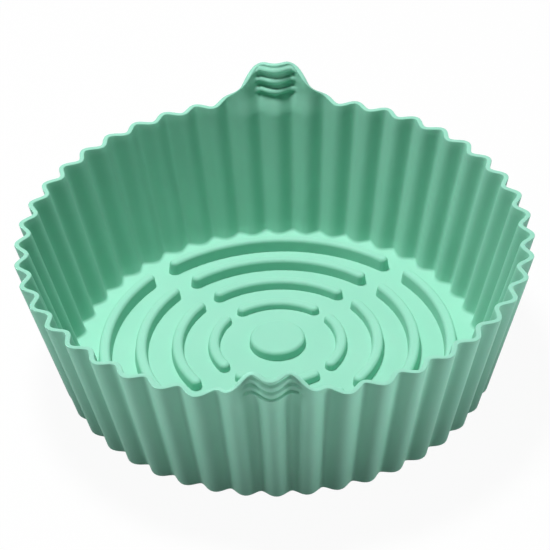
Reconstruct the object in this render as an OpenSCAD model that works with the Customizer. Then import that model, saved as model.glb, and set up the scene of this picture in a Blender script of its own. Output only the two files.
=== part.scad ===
// Air fryer liner: a round bowl moulded in one piece, with a fluted flaring wall,
// two wavy grip tabs and broken ring ribs on the floor.
// The near tab is towards -Y and the far tab towards +Y. The liner rests on Z = 0.

/* [Bowl] */
// Outside diameter over the flutes at the rim
rim_d = 212.5; // [196:0.5:240]
// Outside diameter over the flutes at the foot
base_d = 181; // [173:1:188]
// Height of the plain rim above the resting face
wall_h = 63; // [40:1:90]
// Thickness of the wall at the rim
wall_t = 2; // [1.6:0.1:2.4]
// Thickness of the wall at the foot
foot_t = 3.5; // [2.4:0.1:3.6]
// Thickness of the floor
floor_t = 1.8; // [1.6:0.1:3]
// How much higher the middle of the domed floor lies than its edge
floor_rise = 4.7; // [1:0.1:5.5]
// Least width of the flat ring under the floor's edge, on which the liner rests
rest_w = 5; // [3.5:0.5:10]
// Radius of the outside bottom edge
foot_r = 2.5; // [2:0.1:3]
// Radius of the hollow where the wall meets the floor
floor_fillet_r = 1.2; // [0.6:0.1:2]
// Width of the bevels along the rim
rim_bevel = 0.5; // [0.2:0.05:0.55]

/* [Flutes] */
// Number of flutes round the wall
flute_count = 45; // [36:1:48]
// Depth of a flute at the rim, crest to hollow
flute_rim_depth = 4.2; // [2:0.1:4.6]
// Depth of a flute at the foot, crest to hollow
flute_foot_depth = 3.2; // [1.6:0.1:3.6]

/* [Grip tabs] */
// Height of a tab above the plain rim
tab_h = 15; // [13:0.1:18]
// How far a tab stands out past the slope of the wall below it
tab_lean = 2.4; // [1:0.1:5]
// How much the top of a tab dips over an outward flute and rises over an inward one
tab_wave = 0.5; // [0:0.1:1.2]
// Width of the level top of a tab, along the rim
tab_top_w = 8.5; // [3:0.5:14]
// Width of a tab where its flanks run out into the rim
tab_foot_w = 64; // [50:0.5:66]
// Number of ridges on each face of a tab
ridge_count = 3; // [1:1:3]
// Distance from one ridge to the next
ridge_pitch = 4.5; // [3.4:0.05:4.8]
// Width of a ridge at its root
ridge_root_w = 2.6; // [2:0.1:2.6]
// Width of the crest of a ridge
ridge_crest_w = 1; // [0.6:0.1:1.4]
// How far a ridge stands out of the wall
ridge_proud = 1.2; // [0.4:0.1:1.3]
// Length of a ridge, along the rim
ridge_len = 20; // [12:0.5:24]
// Distance from the top of a tab down to the middle of its first ridge, outside
outer_ridge_drop = 1.9; // [1.9:0.1:3]
// Distance from the top of a tab down to the middle of its first ridge, inside
inner_ridge_drop = 2.3; // [1.9:0.1:3]

/* [Floor ribs] */
// Number of ribbed rings
ring_count = 4; // [1:1:4]
// Radius of the middle line of the first ring
ring_first_r = 27; // [20:0.1:28]
// Distance from one ring to the next
ring_pitch = 15.45; // [10:0.05:15.7]
// Width of a rib at its top, before its edges are rounded
rib_w = 4.2; // [3.4:0.1:5]
// Height of the level tops of all ribs above the resting face
rib_top_z = 8.2; // [7.5:0.1:10]
// Diameter of the boss in the middle at its top, before its edge is rounded
boss_d = 22.9; // [14:0.1:25]
// Height of the top of the boss above the resting face
boss_top_z = 9.8; // [9:0.1:12]
// Radius along the top edges of ribs and boss
rib_edge_r = 1.6; // [0.5:0.1:1.8]
// Slope of the sides of ribs and boss, degrees from upright
rib_draft = 8; // [0:1:10]
// Angle by which the gaps that break each ring widen outward
gap_span = 6.7; // [4:0.1:10]
// Width that the gaps have beyond that angle, between the rounded ends of two ribs
gap_w = 2.6; // [1.5:0.1:5]
// Angle from the line through the tabs to the middle of a gap
gap_angle = 45; // [40:1:50]

/* [Hidden] */

// Facets: columns to a flute, steps on a moulded radius and on a rib's edge, sides to a ring
// and to the round end of a rib
columns_per_flute = 8;
radius_steps = 2;
rib_edge_steps = 3;
ring_smoothness = 120;
end_smoothness = 24;

// The round end of a rib lies inside its section by this much, so that no faces are flush
end_step = 0.03;

columns = flute_count * columns_per_flute;
column_angle = 360 / columns;
half_t = wall_t / 2;
rim_mid_r = (rim_d - wall_t - flute_rim_depth) / 2;
foot_mid_r = (base_d - wall_t - flute_foot_depth) / 2;
wall_slope = (rim_mid_r - foot_mid_r) / wall_h;

// A tab bends out from this far below the rim, over this height. The power hollows its flanks.
tab_bend_below = 7;
tab_bend_height = 11.8;
tab_flank_power = 2;

// The outer flanks, where a tab is lower than this share of its height, need no extra rows
least_row_share = 0.1;

// Angles that stand for widths along the rim
degrees_per_mm = 180 / (PI * rim_mid_r);
tab_top_angle = tab_top_w / 2 * degrees_per_mm;
tab_foot_angle = tab_foot_w / 2 * degrees_per_mm;
ridge_end_angle = ridge_len / 2 * degrees_per_mm;
ridge_fade_angle = 1.5;

// The dome of the floor ends at this radius. Its upper side laps onto the flat floor round it.
dome_r = base_d / 2 - flute_foot_depth - foot_r - rest_w;
dome_lap = 0.8;

// Eased step from 0 to 1
function ease(t) = let (c = min(1, max(0, t))) c * c * (3 - 2 * c);

// Angles are measured from the near tab. This is the angle from the nearer tab.
function from_tab(angle) = min(angle, abs(angle - 180), 360 - angle);

function tab_share(angle) =
    pow(
        1 - ease((from_tab(angle) - tab_top_angle) / (tab_foot_angle - tab_top_angle)),
        tab_flank_power
    );

function rim_height(angle) =
    wall_h + tab_share(angle) * (tab_h - tab_wave * cos(flute_count * angle));

function ridge_share(angle) = ease((ridge_end_angle - from_tab(angle)) / ridge_fade_angle);

// Radius of the middle of the wall's thickness, halfway between crests and hollows
function mid_radius(angle, z) =
    foot_mid_r + wall_slope * z
    + tab_lean * tab_share(angle) * ease((z - wall_h + tab_bend_below) / tab_bend_height);

function flute_depth(z) =
    flute_foot_depth + (flute_rim_depth - flute_foot_depth) * min(1, z / wall_h);

// The wall thickens inward, towards the foot, by this much
function thickening(z) = (foot_t - wall_t) * max(0, 1 - z / wall_h);

// Point at an angle and height, lying this far out of the wall's middle surface
function wall_point(angle, z, out, inset = 0) =
    let (
        swing = flute_depth(z) / 2,
        r = mid_radius(angle, z) + swing * cos(flute_count * angle),
        turn = -swing * flute_count * sin(flute_count * angle),
        outward = [sin(angle), -cos(angle)],
        along = [cos(angle), sin(angle)],
        normal = (r * outward - turn * along) / norm([r, turn]),
        place = (r - inset) * outward + out * normal
    )
    [place[0], place[1], z];

// Extra rows on a tab: height above the plain rim, and share of the ridge there
function tab_rows(drop) = concat(
    [for (h = [-tab_bend_below, -tab_bend_below * 2 / 3, -tab_bend_below / 3]) [h, 0]],
    [
        for (i = [ridge_count - 1:-1:0])
            let (h = tab_h - drop - i * ridge_pitch)
            each [
                [h - ridge_root_w / 2, 0],
                [h - ridge_crest_w / 2, 1],
                [h + ridge_crest_w / 2, 1],
                [h + ridge_root_w / 2, 0]
            ]
    ]
);
outer_rows = tab_rows(outer_ridge_drop);
inner_rows = tab_rows(inner_ridge_drop);
row_count = len(outer_rows);

// Point of an extra row. A row runs level along a tab until it nears the falling flank,
// which it then follows. The side is 1 outside and -1 inside.
function row_point(angle, row, side) =
    let (
        base = wall_h - tab_bend_below,
        top = tab_h - rim_bevel + tab_bend_below,
        share = (row[0] + tab_bend_below) / top,
        level = share * (top - tab_wave * cos(flute_count * angle)),
        flank = sqrt(share) * (rim_height(angle) - rim_bevel - base),
        z = base + min(level, flank)
    )
    wall_point(
        angle,
        z,
        side * (half_t + ridge_proud * row[1] * ridge_share(angle)),
        side < 0 ? thickening(z) : 0
    );

function extra_rows(angle) = tab_share(angle) > least_row_share ? row_count : 0;

// Points of one column, from the foot up the outside, over the rim and down to the floor
function column(angle) =
    let (rim = rim_height(angle), extra = extra_rows(angle))
    concat(
        [
            for (i = [radius_steps:-1:0])
                let (t = 90 * i / radius_steps)
                wall_point(angle, foot_r * (1 - sin(t)), half_t, foot_r * (1 - cos(t)))
        ],
        [for (n = [0:1:extra - 1]) row_point(angle, outer_rows[n], 1)],
        [
            wall_point(angle, rim - rim_bevel, half_t),
            wall_point(angle, rim, half_t - rim_bevel),
            wall_point(angle, rim, rim_bevel - half_t, thickening(rim)),
            wall_point(angle, rim - rim_bevel, -half_t, thickening(rim - rim_bevel))
        ],
        [for (n = [extra - 1:-1:0]) row_point(angle, inner_rows[n], -1)],
        [
            for (i = [0:radius_steps])
                let (
                    t = 90 * i / radius_steps,
                    z = floor_t + floor_fillet_r * (1 - sin(t)),
                    inset = thickening(z) + floor_fillet_r * (1 - cos(t))
                )
                wall_point(angle, z, -half_t, inset)
        ]
    );

// Bands of the wall, counted from the foot: these two carry the extra rows
outer_wall_band = radius_steps;
inner_wall_band = radius_steps + 4;
band_count = 2 * radius_steps + 5;

function place_in_column(ring, extra) =
    ring + (ring > outer_wall_band ? extra : 0) + (ring > inner_wall_band ? extra : 0);

// Faces between two neighbouring chains of points. A fan joins chains of unlike length.
function band_faces(left, right) =
    len(left) == len(right) ? [
        for (n = [0:len(left) - 2]) [left[n], left[n + 1], right[n + 1], right[n]]
    ]
    : len(left) < len(right) ? [concat(left, [for (n = [len(right) - 1:-1:0]) right[n]])]
    : [concat([right[0]], left, [right[1]])];

module shell() {
    angles = [for (i = [0:columns - 1]) i * column_angle];
    extras = [for (a = angles) extra_rows(a)];
    column_points = [for (a = angles) column(a)];
    starts = [for (i = 0, s = 0; i < columns; s = s + len(column_points[i]), i = i + 1) s];
    points = concat(
        [for (list = column_points) each list],
        [[0, 0, 0], [0, 0, floor_t]]
    );
    foot_centre = len(points) - 2;
    floor_centre = len(points) - 1;

    // The points of column i from one side of a band to the other
    function chain(i, band) = [
        for (n = [place_in_column(band, extras[i]):place_in_column(band + 1, extras[i])])
            starts[i] + n
    ];
    function last(i) = starts[i] + len(column_points[i]) - 1;
    function next(i) = (i + 1) % columns;

    faces = [
        for (i = [0:columns - 1])
            each concat(
                [[foot_centre, starts[i], starts[next(i)]]],
                [
                    for (band = [0:band_count - 1])
                        each band_faces(chain(i, band), chain(next(i), band))
                ],
                [[floor_centre, last(next(i)), last(i)]]
            )
    ];
    polyhedron(points, faces, convexity = 10);
}

// Height of the upper side of the floor
function floor_z(r) = floor_t + floor_rise * max(0, 1 - r / dome_r);

// The domed middle of the floor, and the hollow under it
module floor_dome() {
    rotate_extrude($fn = ring_smoothness)
        polygon([
            [0, floor_t / 2],
            [dome_r + dome_lap, floor_t / 2],
            [dome_r + dome_lap, floor_t],
            [dome_r, floor_t],
            [0, floor_t + floor_rise]
        ]);
}

module floor_hollow() {
    below = floor_t;
    rotate_extrude($fn = ring_smoothness)
        polygon([
            [0, -below],
            [dome_r * (1 + below / floor_rise), -below],
            [0, floor_rise]
        ]);
}

// Right half of the outline of a rib or boss, from its root in the floor to its level top
function raised_edge(half_w, root_z, top_z) =
    let (
        centre_x = half_w + rib_edge_r * (tan(rib_draft) - 1 / cos(rib_draft)),
        centre_z = top_z - rib_edge_r
    )
    concat(
        [[half_w + (top_z - root_z) * tan(rib_draft), root_z]],
        [
            for (i = [0:rib_edge_steps])
                let (t = rib_draft + (90 - rib_draft) * i / rib_edge_steps)
                [centre_x, centre_z] + rib_edge_r * [cos(t), sin(t)]
        ]
    );

module rib_outline(root_z) {
    right = raised_edge(rib_w / 2, root_z, rib_top_z);
    left = [for (i = [len(right) - 1:-1:0]) [-right[i][0], right[i][1]]];
    polygon(concat(right, left));
}

// Right half of the section of a round raised body, closed at its middle line
module half_outline(half_w, root_z, top_z) {
    polygon(concat(raised_edge(half_w, root_z, top_z), [[0, top_z], [0, root_z]]));
}

// One rib of a ring with round ends, centred on the given direction. The span is the angle
// between the middles of its ends. It is rooted halfway down the floor.
module rib(r, direction, span) {
    root_z = floor_z(r) - floor_t / 2;
    rotate([0, 0, direction - span / 2])
        rotate_extrude(angle = span, $fn = ring_smoothness)
            translate([r, 0])
                rib_outline(root_z);
    for (side = [-1, 1])
        rotate([0, 0, direction + side * span / 2])
            translate([r, 0, 0])
                rotate_extrude($fn = end_smoothness)
                    half_outline(rib_w / 2 - end_step, root_z + end_step, rib_top_z - end_step);
}

module floor_ribs() {
    for (ring = [0:ring_count - 1]) {
        r = ring_first_r + ring * ring_pitch;
        end_angle = gap_span / 2 + (gap_w + rib_w) / 2 / r * 180 / PI;
        for (quarter = [0:3])
            rib(r, quarter * 90, 2 * (quarter % 2 == 0 ? 90 - gap_angle : gap_angle) - 2 * end_angle);
    }
}

module boss() {
    rotate_extrude($fn = ring_smoothness)
        half_outline(boss_d / 2, floor_z(boss_d / 2) - floor_t / 2, boss_top_z);
}

module liner() {
    color("mediumaquamarine") {
        difference() {
            union() {
                shell();
                floor_dome();
            }
            floor_hollow();
        }
        floor_ribs();
        boss();
    }
}

liner();
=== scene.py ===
import math

import bpy
from mathutils import Matrix, Vector


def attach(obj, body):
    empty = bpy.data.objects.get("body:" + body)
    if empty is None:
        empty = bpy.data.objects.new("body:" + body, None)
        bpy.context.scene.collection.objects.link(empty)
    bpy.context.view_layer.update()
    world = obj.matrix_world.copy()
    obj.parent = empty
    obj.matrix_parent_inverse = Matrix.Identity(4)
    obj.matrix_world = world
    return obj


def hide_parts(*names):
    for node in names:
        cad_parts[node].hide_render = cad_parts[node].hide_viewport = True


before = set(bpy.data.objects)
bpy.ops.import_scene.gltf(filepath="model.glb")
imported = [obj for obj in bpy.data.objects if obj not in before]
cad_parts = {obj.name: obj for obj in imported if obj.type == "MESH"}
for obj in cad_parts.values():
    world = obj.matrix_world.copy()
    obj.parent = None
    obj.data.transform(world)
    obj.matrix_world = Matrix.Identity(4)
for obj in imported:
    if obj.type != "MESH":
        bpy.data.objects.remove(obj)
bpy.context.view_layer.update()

# Sizes in millimetres and angles in degrees, as in the part's source
RIM_D = 212.5
BASE_D = 181.0
WALL_H = 63.0
WALL_T = 2.0
FOOT_T = 3.5
FLOOR_T = 1.8
FLOOR_RISE = 4.7
REST_W = 5.0
FOOT_R = 2.5
FLOOR_FILLET_R = 1.2
FLUTE_COUNT = 45
FLUTE_RIM_DEPTH = 4.2
FLUTE_FOOT_DEPTH = 3.2
TAB_H = 15.0
TAB_LEAN = 2.4
TAB_WAVE = 0.5
TAB_TOP_W = 8.5
TAB_FOOT_W = 64.0
TAB_BEND_BELOW = 7.0
TAB_BEND_HEIGHT = 11.8
TAB_FLANK_POWER = 2.0
RIDGE_COUNT = 3
RING_COUNT = 4
RING_FIRST_R = 27.0
RING_PITCH = 15.45
RIB_W = 4.2
RIB_TOP_Z = 8.2
RIB_EDGE_R = 1.6
RIB_DRAFT = 8.0
BOSS_D = 22.9
BOSS_TOP_Z = 9.8
GAP_SPAN = 6.7
GAP_W = 2.6
GAP_ANGLE = 45.0

# Sizes that only the scene has: the rounded rim, with half the flat left on top of a tab
RIM_R = 0.35
TAB_RIM_FLAT = 0.1
# The ridges of a tab: drop of the first one from the tab's top, pitch and length
OUTER_RIDGES = (2.7, 4.25, 22.5)
INNER_RIDGES = (2.6, 4.5, 19.0)
# An inner ridge is a round bead
BEAD_PROUD = 1.2
BEAD_HALF_H = 1.25
# An outer ridge is a step with a groove: the face is set back above it and proud below it
STEP_PROUD = 0.5
STEP_FADE_ABOVE = 2.4
STEP_FADE_BELOW = 2.8
GROOVE_DEPTH = 1.1
GROOVE_HALF_H = 0.55
# How far the ribs and the boss reach down into the floor
ROOT_DEPTH = 0.7

HALF_T = WALL_T / 2
RIM_MID_R = (RIM_D - WALL_T - FLUTE_RIM_DEPTH) / 2
FOOT_MID_R = (BASE_D - WALL_T - FLUTE_FOOT_DEPTH) / 2
WALL_SLOPE = (RIM_MID_R - FOOT_MID_R) / WALL_H
DEGREES_PER_MM = 180 / (math.pi * RIM_MID_R)
TAB_TOP_ANGLE = TAB_TOP_W / 2 * DEGREES_PER_MM
TAB_FOOT_ANGLE = TAB_FOOT_W / 2 * DEGREES_PER_MM
DOME_R = BASE_D / 2 - FLUTE_FOOT_DEPTH - FOOT_R - REST_W
BAND_Z = WALL_H - TAB_BEND_BELOW
TAB_BAND_H = TAB_H - RIM_R + TAB_BEND_BELOW
DRAFT = math.radians(RIB_DRAFT)


def ease(t):
    """Smooth step from 0 to 1."""
    c = min(1.0, max(0.0, t))
    return c * c * (3 - 2 * c)


def half_round(t):
    """Height of a half circle, at this share of its radius from its middle."""
    return math.sqrt(max(0.0, 1 - t ** 2))


def quarter_turn(steps):
    """Evenly spaced angles from 0 to a quarter turn, in radians."""
    return [math.radians(90 * i / steps) for i in range(steps + 1)]


def wave(angle):
    """1 where a flute is furthest out, -1 where it is furthest in."""
    return math.cos(math.radians(FLUTE_COUNT * angle))


def from_tab(angle):
    """Angle to the middle of the nearer tab. The tabs are at 0 and 180 degrees."""
    return min(angle % 180, 180 - angle % 180)


def tab_share(angle):
    """How high the rim is over the plain rim, as a share of a tab's height."""
    along = (from_tab(angle) - TAB_TOP_ANGLE) / (TAB_FOOT_ANGLE - TAB_TOP_ANGLE)
    return (1 - ease(along)) ** TAB_FLANK_POWER


def rim_height(angle):
    """Height of the rim, which on a tab is a little lower on the outward flutes."""
    return WALL_H + tab_share(angle) * (TAB_H - TAB_WAVE * wave(angle))


def mid_radius(angle, z):
    """Radius of the wall's middle surface, midway between furthest out and furthest in."""
    bend = ease((z - BAND_Z) / TAB_BEND_HEIGHT)
    return FOOT_MID_R + WALL_SLOPE * z + TAB_LEAN * tab_share(angle) * bend


def thickening(z):
    """How much thicker than at the rim the wall is, on its inner side."""
    return (FOOT_T - WALL_T) * max(0.0, 1 - z / WALL_H)


def wall_point(angle, z, out, inset=0.0):
    """Point on the wall, out from its middle surface along the plan normal, then inset."""
    depth = FLUTE_FOOT_DEPTH + (FLUTE_RIM_DEPTH - FLUTE_FOOT_DEPTH) * min(1, z / WALL_H)
    swing = depth / 2
    r = mid_radius(angle, z) + swing * wave(angle)
    turn = -swing * FLUTE_COUNT * math.sin(math.radians(FLUTE_COUNT * angle))
    n = math.hypot(r, turn)
    s = math.sin(math.radians(angle))
    c = math.cos(math.radians(angle))
    x = (r - inset) * s + out * (r * s - turn * c) / n
    y = -(r - inset) * c + out * (-r * c - turn * s) / n
    return (x, y, z)


def bead(t):
    """How far a tab's inner face stands out, at a height t over the middle of a ridge."""
    return BEAD_PROUD * half_round(t / BEAD_HALF_H)


def grooved_step(t):
    """How far a tab's outer face stands out, at a height t over the middle of a ridge."""
    groove = GROOVE_DEPTH * half_round(t / GROOVE_HALF_H)
    if t > 0:
        return -STEP_PROUD * (1 - ease(t / STEP_FADE_ABOVE)) - groove
    return STEP_PROUD * (1 - ease(-t / STEP_FADE_BELOW)) - groove


def ridge_out(angle, z, ridges, shape):
    """How far the ridges on one face of a tab make it stand out at this point.

    They run level over the middle of the tab, and bend down with its rim at their ends.
    """
    drop, pitch, length = ridges
    share = ease(length / 2 * DEGREES_PER_MM - from_tab(angle))
    if share == 0 or z < BAND_Z:
        return 0.0
    rise = z - BAND_Z
    level = rise / (TAB_BAND_H - TAB_WAVE * wave(angle))
    flank = (rise / (rim_height(angle) - RIM_R - BAND_Z)) ** 2
    h = max(level, flank) * TAB_BAND_H - TAB_BEND_BELOW
    return share * sum(shape(h - (TAB_H - drop - k * pitch)) for k in range(RIDGE_COUNT))


# The skin is cut into upright slices. More rows go to the slices through a tab.
SLICE_ANGLE = 0.5
SLICES = int(360 / SLICE_ANGLE)
FLOOR_SHARES = (0.3, 0.6, 0.85, 1.0)
FOOT_STEPS = 6
FILLET_STEPS = 5
RIM_STEPS = 4
WALL_ROWS = 9
RIM_BAND_ROWS = 2
TAB_BAND_ROWS = 72
LEAST_TAB_SHARE = 0.02


def floor_line(angle, edge_z):
    """Points from near the middle, where the floor is highest, out to the resting ring."""
    s = math.sin(math.radians(angle))
    c = math.cos(math.radians(angle))
    return [
        (DOME_R * f * s, -DOME_R * f * c, edge_z + FLOOR_RISE * (1 - f)) for f in FLOOR_SHARES
    ]


def foot_line(angle):
    """Round the foot, from the resting ring up to the outer face."""
    return [
        wall_point(angle, FOOT_R * (1 - math.sin(t)), HALF_T, FOOT_R * (1 - math.cos(t)))
        for t in reversed(quarter_turn(FOOT_STEPS))
    ]


def rim_line(angle):
    """Over the rim, from the outer to the inner face. The rim of a tab is rounder."""
    top = rim_height(angle)
    across = RIM_R + (HALF_T - TAB_RIM_FLAT - RIM_R) * tab_share(angle)
    edge = [
        (HALF_T - across * (1 - math.cos(t)), top - RIM_R * (1 - math.sin(t)))
        for t in quarter_turn(RIM_STEPS)[1:]
    ]
    outside = [wall_point(angle, z, out) for out, z in edge]
    inside = [wall_point(angle, z, -out, thickening(z)) for out, z in reversed(edge)]
    return outside + [wall_point(angle, top, 0.0)] + inside


def fillet_line(angle):
    """Down the hollow round between the inner face and the floor."""
    points = []
    for t in quarter_turn(FILLET_STEPS):
        z = FLOOR_T + FLOOR_FILLET_R * (1 - math.sin(t))
        inset = thickening(z) + FLOOR_FILLET_R * (1 - math.cos(t))
        points.append(wall_point(angle, z, -HALF_T, inset))
    return points


def wall_slice(angle):
    """Nine lines of points, end to end from the underside over the rim to the floor."""
    rows = TAB_BAND_ROWS if tab_share(angle) > LEAST_TAB_SHARE else RIM_BAND_ROWS
    band_h = rim_height(angle) - RIM_R - BAND_Z
    low = [FOOT_R + (BAND_Z - FOOT_R) * i / WALL_ROWS for i in range(1, WALL_ROWS)]
    high = [BAND_Z + band_h * i / rows for i in range(rows + 1)]
    outer_low = [wall_point(angle, z, HALF_T) for z in low]
    outer_high = [
        wall_point(angle, z, HALF_T + ridge_out(angle, z, OUTER_RIDGES, grooved_step))
        for z in high
    ]
    inner_high = [
        wall_point(angle, z, -HALF_T - ridge_out(angle, z, INNER_RIDGES, bead), thickening(z))
        for z in reversed(high)
    ]
    inner_low = [wall_point(angle, z, -HALF_T, thickening(z)) for z in reversed(low)]
    return [
        floor_line(angle, 0.0),
        foot_line(angle),
        outer_low,
        outer_high,
        rim_line(angle),
        inner_high,
        inner_low,
        fillet_line(angle),
        floor_line(angle, FLOOR_T)[::-1],
    ]


def bridge(left, right):
    """Faces between two rows of points, or a single one where the rows differ in length."""
    if len(left) != len(right):
        return [tuple(right) + tuple(reversed(left))]
    return [(left[n], right[n], right[n + 1], left[n + 1]) for n in range(len(left) - 1)]


def shell_mesh():
    """The wall and the floor, as one closed skin."""
    verts = []
    faces = []
    slices = []
    for j in range(SLICES):
        ids = []
        for line in wall_slice(j * SLICE_ANGLE):
            ids.append(list(range(len(verts), len(verts) + len(line))))
            verts += line
        slices.append(ids)
    under_middle = len(verts)
    floor_middle = under_middle + 1
    verts += [(0, 0, FLOOR_RISE), (0, 0, FLOOR_T + FLOOR_RISE)]
    for j in range(SLICES):
        left = slices[j]
        right = slices[(j + 1) % SLICES]
        faces.append((under_middle, right[0][0], left[0][0]))
        for n in range(len(left)):
            faces += bridge(left[n], right[n])
            if n + 1 < len(left):
                faces += bridge([left[n][-1], left[n + 1][0]], [right[n][-1], right[n + 1][0]])
        faces.append((floor_middle, left[-1][-1], right[-1][-1]))
    return verts, faces


# The ribs and the boss stand on the floor as stacks of loops, closed at the top only
EDGE_STEPS = 6
RIB_STEP = 1.2
LEAST_RIB_STEPS = 12
END_STEPS = 12
BOSS_STEPS = 144
# Loops on the flat tops: share of the way in for a rib, of the way out for the boss
RIB_TOP_SHARES = (0.3, 0.7, 0.98)
BOSS_TOP_SHARES = (0.96, 0.6, 0.2)


def floor_z(r):
    return FLOOR_T + FLOOR_RISE * max(0.0, 1 - r / DOME_R)


def drafted_profile(h):
    """(inset, height) pairs from the root up a drafted side and over a rounded edge."""
    foot = h * math.tan(DRAFT)
    profile = [(-ROOT_DEPTH * math.tan(DRAFT), -ROOT_DEPTH), (0.0, 0.0), (foot * 0.5, h * 0.5)]
    centre = foot - RIB_EDGE_R * (math.tan(DRAFT) - 1 / math.cos(DRAFT))
    for i in range(EDGE_STEPS + 1):
        t = math.radians(RIB_DRAFT + (90 - RIB_DRAFT) * i / EDGE_STEPS)
        profile.append((centre - RIB_EDGE_R * math.cos(t), h - RIB_EDGE_R * (1 - math.sin(t))))
    return profile


def side_faces(n, loops):
    """Faces between stacked loops of n points each."""
    faces = []
    for k in range(loops - 1):
        for i in range(n):
            j = (i + 1) % n
            faces.append((k * n + i, k * n + j, (k + 1) * n + j, (k + 1) * n + i))
    return faces


def arc(r, start, turn, count):
    """Points along an arc round the middle of the floor."""
    angles = [start + turn * i / count for i in range(count + 1)]
    return [(r * math.cos(a), r * math.sin(a)) for a in angles]


def rib_end(r, w, a, side):
    """Points round one end of a rib, between its two long sides. The side is 1 or -1."""
    s = math.sin(a)
    c = math.cos(a)
    points = []
    for i in range(1, END_STEPS):
        t = math.pi * i / END_STEPS
        u = side * math.cos(t) * w
        v = side * math.sin(t) * w
        points.append(((r + u) * c - v * s, (r + u) * s + v * c))
    return points


def rib_mesh(r, direction, span):
    """A rib with round ends. The span is the angle between the middles of its ends."""
    base = floor_z(r)
    h = RIB_TOP_Z - base
    half_w = RIB_W / 2 + h * math.tan(DRAFT)
    half = math.radians(span) / 2
    centre = math.radians(direction)
    count = max(LEAST_RIB_STEPS, int(2 * half * r / RIB_STEP))
    profile = drafted_profile(h)
    last = profile[-1][0]
    profile += [(last + (half_w - last) * f, h) for f in RIB_TOP_SHARES]
    verts = []
    for inset, z in profile:
        w = half_w - inset
        loop = arc(r + w, centre - half, 2 * half, count)
        loop += rib_end(r, w, centre + half, 1)
        loop += arc(r - w, centre + half, -2 * half, count)
        loop += rib_end(r, w, centre - half, -1)
        verts += [(x, y, base + z) for x, y in loop]
    n = len(loop)
    faces = side_faces(n, len(profile))
    top = (len(profile) - 1) * n
    back = 2 * count + END_STEPS
    for i in range(count):
        faces.append((top + i, top + i + 1, top + back - i - 1, top + back - i))
    faces.append(tuple(top + count + i for i in range(END_STEPS + 1)))
    faces.append(tuple(top + (back + i) % n for i in range(END_STEPS + 1)))
    return verts, faces


def boss_mesh():
    """The round boss in the middle of the floor."""
    base = floor_z(BOSS_D / 2)
    h = BOSS_TOP_Z - base
    foot_r = BOSS_D / 2 + h * math.tan(DRAFT)
    profile = [(foot_r - inset, base + z) for inset, z in drafted_profile(h)]
    last = profile[-1][0]
    profile += [(last * f, BOSS_TOP_Z) for f in BOSS_TOP_SHARES]
    verts = []
    for r, z in profile:
        verts += [(x, y, z) for x, y in arc(r, 0.0, 2 * math.pi, BOSS_STEPS)[:-1]]
    faces = side_faces(BOSS_STEPS, len(profile))
    faces.append(tuple((len(profile) - 1) * BOSS_STEPS + i for i in range(BOSS_STEPS)))
    return verts, faces


def rib_meshes():
    """The rings of ribs. Gaps on the diagonals cut each ring into four."""
    meshes = []
    for ring in range(RING_COUNT):
        r = RING_FIRST_R + ring * RING_PITCH
        end = GAP_SPAN / 2 + math.degrees((GAP_W + RIB_W) / 2 / r)
        for quarter in range(4):
            reach = 90 - GAP_ANGLE if quarter % 2 == 0 else GAP_ANGLE
            meshes.append(rib_mesh(r, quarter * 90, 2 * (reach - end)))
    return meshes


def moulding(name, parts):
    """One smooth object of these meshes, in metres."""
    verts = []
    faces = []
    for part_verts, part_faces in parts:
        base = len(verts)
        verts += [(x / 1000, y / 1000, z / 1000) for x, y, z in part_verts]
        faces += [tuple(base + i for i in face) for face in part_faces]
    mesh = bpy.data.meshes.new(name)
    mesh.from_pydata(verts, [], faces)
    mesh.validate()
    for face in mesh.polygons:
        face.use_smooth = True
    made = bpy.data.objects.new(name, mesh)
    bpy.context.scene.collection.objects.link(made)
    return made


def add_node(tree, kind, values=None):
    """New shader node, with these values set on its inputs."""
    node = tree.nodes.new("ShaderNode" + kind)
    for name, value in (values or {}).items():
        node.inputs[name].default_value = value
    return node


# Silicone: matte, faintly mottled and finely grained, with a little light under its surface
MINT_DARK = (0.290, 0.635, 0.490, 1)
MINT_LIGHT = (0.310, 0.655, 0.510, 1)
SILICONE = {
    "IOR": 1.43,
    "Specular IOR Level": 0.06,
    "Subsurface Weight": 0.05,
    "Subsurface Radius": (0.2, 1.0, 0.6),
    "Subsurface Scale": 0.004,
}


def silicone():
    material = bpy.data.materials.new("mint_silicone")
    material.use_nodes = True
    tree = material.node_tree
    link = tree.links.new
    surface = tree.nodes["Principled BSDF"]
    for name, value in SILICONE.items():
        surface.inputs[name].default_value = value
    place = add_node(tree, "TexCoord").outputs["Object"]

    mottle = add_node(tree, "TexNoise", {"Scale": 38, "Detail": 5})
    link(place, mottle.inputs["Vector"])
    mint = add_node(tree, "ValToRGB")
    dark, light = mint.color_ramp.elements
    dark.position = 0.3
    dark.color = MINT_DARK
    light.position = 0.7
    light.color = MINT_LIGHT
    link(mottle.outputs["Fac"], mint.inputs["Fac"])
    link(mint.outputs["Color"], surface.inputs["Base Color"])
    roughness = add_node(tree, "MapRange", {"To Min": 0.46, "To Max": 0.54})
    link(mottle.outputs["Fac"], roughness.inputs["Value"])
    link(roughness.outputs["Result"], surface.inputs["Roughness"])

    grain = add_node(tree, "TexNoise", {"Scale": 1600, "Detail": 2})
    link(place, grain.inputs["Vector"])
    bump = add_node(tree, "Bump", {"Strength": 0.06, "Distance": 0.0002})
    link(grain.outputs["Fac"], bump.inputs["Height"])
    link(bump.outputs["Normal"], surface.inputs["Normal"])
    return material


liner = moulding("liner_moulding", [shell_mesh(), boss_mesh()] + rib_meshes())
liner.data.materials.append(silicone())
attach(liner, "root")
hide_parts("liner")

# White surroundings, in metres. What is seen of them is white, what lights the part is dim.
WHITE = {"Color": (1, 1, 1, 1), "Strength": 1.0}
DIM_STRENGTH = 0.01
GROUND_SIZE = 8
GROUND_DROP = 0.00005
GROUND_LIT = (0.2, 0.2, 0.2, 1)
GROUND_SHADOWED = (0.8, 0.8, 0.8, 1)
GROUND_WHITE_SHARE = 0.95


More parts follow.
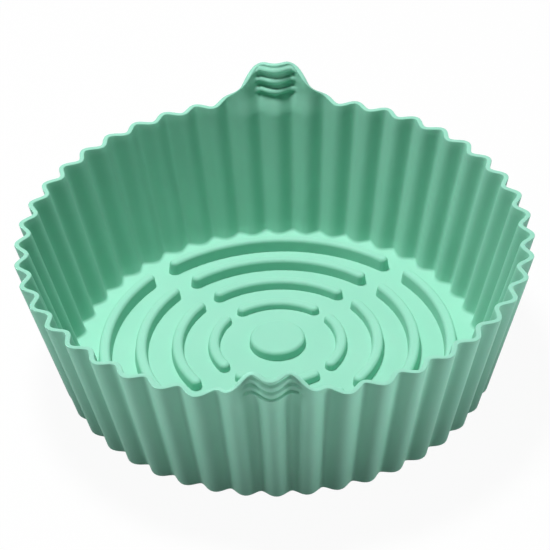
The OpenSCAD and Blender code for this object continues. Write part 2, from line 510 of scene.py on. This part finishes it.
def seen_or_lighting(tree, lighting, seen):
    """One shader for the rays that light the part, another for camera and mirror rays."""
    path = add_node(tree, "LightPath")
    share = path.outputs["Is Camera Ray"]
    for name in ("Is Glossy Ray", "Is Transmission Ray"):
        either = add_node(tree, "Math")
        either.operation = "MAXIMUM"
        tree.links.new(share, either.inputs[0])
        tree.links.new(path.outputs[name], either.inputs[1])
        share = either.outputs["Value"]
    mix = add_node(tree, "MixShader")
    tree.links.new(share, mix.inputs["Fac"])
    tree.links.new(lighting, mix.inputs[1])
    tree.links.new(seen, mix.inputs[2])
    return mix.outputs["Shader"]


def white_ground():
    """Seen as white, with a faint shadow of the part. It throws little light back."""
    material = bpy.data.materials.new("white_ground")
    material.use_nodes = True
    tree = material.node_tree
    tree.nodes.clear()
    lit = add_node(tree, "BsdfDiffuse", {"Color": GROUND_LIT})
    shadowed = add_node(tree, "BsdfDiffuse", {"Color": GROUND_SHADOWED})
    glow = add_node(tree, "Emission", WHITE)
    seen = add_node(tree, "MixShader", {"Fac": GROUND_WHITE_SHARE})
    tree.links.new(shadowed.outputs["BSDF"], seen.inputs[1])
    tree.links.new(glow.outputs["Emission"], seen.inputs[2])
    surface = seen_or_lighting(tree, lit.outputs["BSDF"], seen.outputs["Shader"])
    tree.links.new(surface, add_node(tree, "OutputMaterial").inputs["Surface"])
    return material


def add_ground():
    """A wide floor, just under the part so that their faces don't coincide."""
    bpy.ops.mesh.primitive_plane_add(size=GROUND_SIZE, location=(0, 0, -GROUND_DROP))
    ground = bpy.context.object
    ground.name = "ground"
    ground.data.materials.append(white_ground())


def add_world():
    world = bpy.data.worlds.new("studio")
    bpy.context.scene.world = world
    world.use_nodes = True
    tree = world.node_tree
    dim = tree.nodes["Background"]
    dim.inputs["Color"].default_value = WHITE["Color"]
    dim.inputs["Strength"].default_value = DIM_STRENGTH
    white = add_node(tree, "Background", WHITE)
    surface = seen_or_lighting(tree, dim.outputs["Background"], white.outputs["Background"])
    tree.links.new(surface, tree.nodes["World Output"].inputs["Surface"])


# Lamps, in metres, watts and degrees. The strips stand low round the front. They light the
# wall most of all near its rim, and leave the hollows between its flutes darker.
KEY_PLACE = (-0.15, 0.2, 1.1)
KEY_TARGET = (0, 0, 0.03)
KEY_SIZE = 0.25
KEY_POWER = 14.5
STRIPS = (
    ("left_strip", (-0.62, -0.19, 0.03), 0.096),
    ("right_strip", (0.62, -0.19, 0.03), 0.107),
    ("left_front_strip", (-0.37, -0.53, 0.03), 0.038),
    ("right_front_strip", (0.37, -0.53, 0.03), 0.043),
)
STRIP_TARGET = (0, -0.08, 0.13)
STRIP_WIDTH = 0.2
STRIP_HEIGHT = 0.04
STRIP_SPREAD = 36


def add_lamp(name, place, target, power):
    """Area lamp turned to its target."""
    data = bpy.data.lights.new(name, "AREA")
    data.energy = power
    lamp = bpy.data.objects.new(name, data)
    lamp.location = place
    lamp.rotation_euler = (Vector(target) - Vector(place)).to_track_quat("-Z", "Y").to_euler()
    bpy.context.scene.collection.objects.link(lamp)
    return data


def add_lamps():
    key = add_lamp("key_light", KEY_PLACE, KEY_TARGET, KEY_POWER)
    key.shape = "DISK"
    key.size = KEY_SIZE
    for name, place, power in STRIPS:
        strip = add_lamp(name, place, STRIP_TARGET, power)
        strip.shape = "RECTANGLE"
        strip.size = STRIP_WIDTH
        strip.size_y = STRIP_HEIGHT
        strip.spread = math.radians(STRIP_SPREAD)


# Camera, fitted to the photo's flutes and rings, in pixels, millimetres and degrees
FRAME_PX = 550
FOCAL_PX = 2179.5
SENSOR = 36
DISTANCE = 903.0
ELEVATION = math.radians(36.92)
ROLL = math.radians(-2.025)
TURN = math.radians(-1.631)
LOOK = (-0.15, 0.0, 42.07)


def add_camera():
    back = Vector((0, -math.cos(ELEVATION), math.sin(ELEVATION)))
    side = Vector((1, 0, 0))
    upward = back.cross(side)
    right = math.cos(ROLL) * side + math.sin(ROLL) * upward
    up = -math.sin(ROLL) * side + math.cos(ROLL) * upward
    turn = Matrix.Rotation(-TURN, 3, "Z")
    place = turn @ (Vector(LOOK) + back * DISTANCE) / 1000
    axes = Matrix((turn @ right, turn @ up, turn @ back)).transposed()
    data = bpy.data.cameras.new("camera")
    data.sensor_width = SENSOR
    data.lens = FOCAL_PX * SENSOR / FRAME_PX
    camera = bpy.data.objects.new("camera", data)
    camera.matrix_world = Matrix.Translation(place) @ axes.to_4x4()
    bpy.context.scene.collection.objects.link(camera)
    bpy.context.scene.camera = camera


add_ground()
add_world()
add_lamps()
add_camera()
bpy.context.scene.view_settings.view_transform = "Standard"
